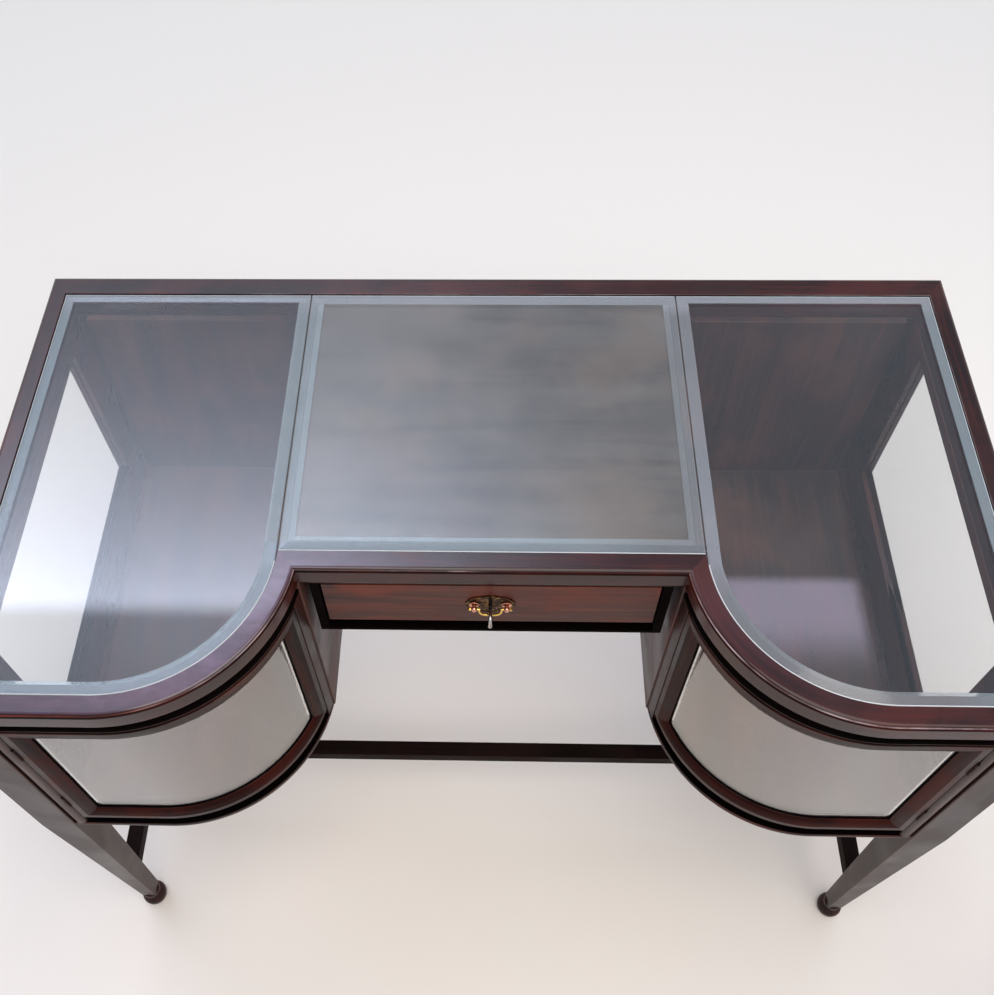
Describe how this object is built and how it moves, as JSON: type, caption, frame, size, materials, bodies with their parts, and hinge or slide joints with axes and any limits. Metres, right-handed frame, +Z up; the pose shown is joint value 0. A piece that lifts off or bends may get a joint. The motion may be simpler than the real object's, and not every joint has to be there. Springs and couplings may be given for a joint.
{
  "type": "display console table",
  "caption": "Console table with a flush glass top, bow-fronted glazed display compartments on both sides of a kneehole, and a shallow locking drawer between them.",
  "frame": {"origin": "on the floor, under the middle of the table's footprint", "axes": "+X to the viewer's right along the front, +Y from the front to the back, +Z up"},
  "size_m": [1.08, 0.564, 0.785],
  "materials": {
    "frame_wood": "dark red-brown hardwood under an old gloss polish, worn and scratched, redder at the edges",
    "panel_wood": "dark brown boards with a dull polish, mottled and dusty",
    "drawer_wood": "reddish-brown figured hardwood with a soft polish",
    "inner_wood": "plain unpolished drawer lining wood",
    "glass": "clear plate glass with a faint green edge, bevelled, lightly scratched and dusty",
    "brass": "old brass with a dark brown patina, bright where it is touched",
    "steel": "worn steel with a brown bloom"
  },
  "bodies": {
    "table": {"right_front_top_rail": "frame_wood", "left_front_top_rail": "frame_wood", "right_side_top_rail": "frame_wood", "left_side_top_rail": "frame_wood", "back_top_rail": "frame_wood", "kneehole_top_rail": "frame_wood", "glass_bearers": "frame_wood", "centre_panel": "panel_wood", "right_top_glass": "glass", "left_top_glass": "glass", "centre_top_glass": "glass", "right_front_leg": "frame_wood", "left_front_leg": "frame_wood", "right_rear_leg": "frame_wood", "left_rear_leg": "frame_wood", "right_side_stretcher": "frame_wood", "left_side_stretcher": "frame_wood", "cross_stretcher": "frame_wood", "right_window_frame": "frame_wood", "left_window_frame": "frame_wood", "right_window_glass": "glass", "left_window_glass": "glass", "right_kneehole_wall": "panel_wood", "left_kneehole_wall": "panel_wood", "right_back_panel": "panel_wood", "left_back_panel": "panel_wood", "centre_back_panel": "panel_wood", "right_floor_board": "panel_wood", "left_floor_board": "panel_wood", "right_inner_post": "frame_wood", "left_inner_post": "frame_wood", "right_outer_post": "frame_wood", "left_outer_post": "frame_wood", "right_frieze": "frame_wood", "left_frieze": "frame_wood", "right_bottom_rail": "frame_wood", "left_bottom_rail": "frame_wood", "hinge_post_leaves": "brass", "kneehole_frieze": "frame_wood", "drawer_opening_frame": "frame_wood", "drawer_runners": "inner_wood"},
    "left_door": {"left_door_rails": "frame_wood", "left_door_meeting_stile": "frame_wood", "left_door_glass": "glass", "left_door_hinge_stile": "frame_wood", "left_door_hinge_knuckles": "brass"},
    "right_door": {"right_door_rails": "frame_wood", "right_door_meeting_stile": "frame_wood", "right_door_glass": "glass", "right_door_hinge_stile": "frame_wood", "right_door_hinge_knuckles": "brass"},
    "drawer": {"drawer_front": "drawer_wood", "drawer_sides": "inner_wood", "drawer_back": "inner_wood", "drawer_bottom": "inner_wood", "drawer_lock": "steel", "handle_plate": "brass"},
    "bail": {"drawer_bail": "brass"},
    "bolt": {"lock_bolt": "steel"},
    "key": {"key": "steel"}
  },
  "joints": [
    {"name": "left_door_hinge", "type": "hinge", "parent": "table", "child": "left_door", "pos_m": [-0.48125, -0.2805, 0.4578], "axis": [0, 0, -1], "range_deg": [0, 100]},
    {"name": "right_door_hinge", "type": "hinge", "parent": "table", "child": "right_door", "pos_m": [0.48125, -0.2805, 0.4578], "axis": [0, 0, 1], "range_deg": [0, 100]},
    {"name": "drawer_slide", "type": "slide", "parent": "table", "child": "drawer", "axis": [0, -1, 0], "range_m": [0, 0.23]},
    {"name": "bail_swing", "type": "hinge", "parent": "drawer", "child": "bail", "pos_m": [0, -0.1229, 0.7], "axis": [-1, 0, 0], "range_deg": [0, 70]},
    {"name": "key_turn", "type": "hinge", "parent": "drawer", "child": "key", "pos_m": [0, -0.1175, 0.71], "axis": [0, -1, 0], "range_deg": [0, 180]},
    {"name": "bolt_slide", "type": "slide", "parent": "drawer", "child": "bolt", "axis": [0, 0, 1], "range_m": [0, 0.005]}
  ],
  "couplings": [
    {"joint": "bolt_slide", "follows": "key_turn", "m_per_rad": 0.0015915}
  ]
}
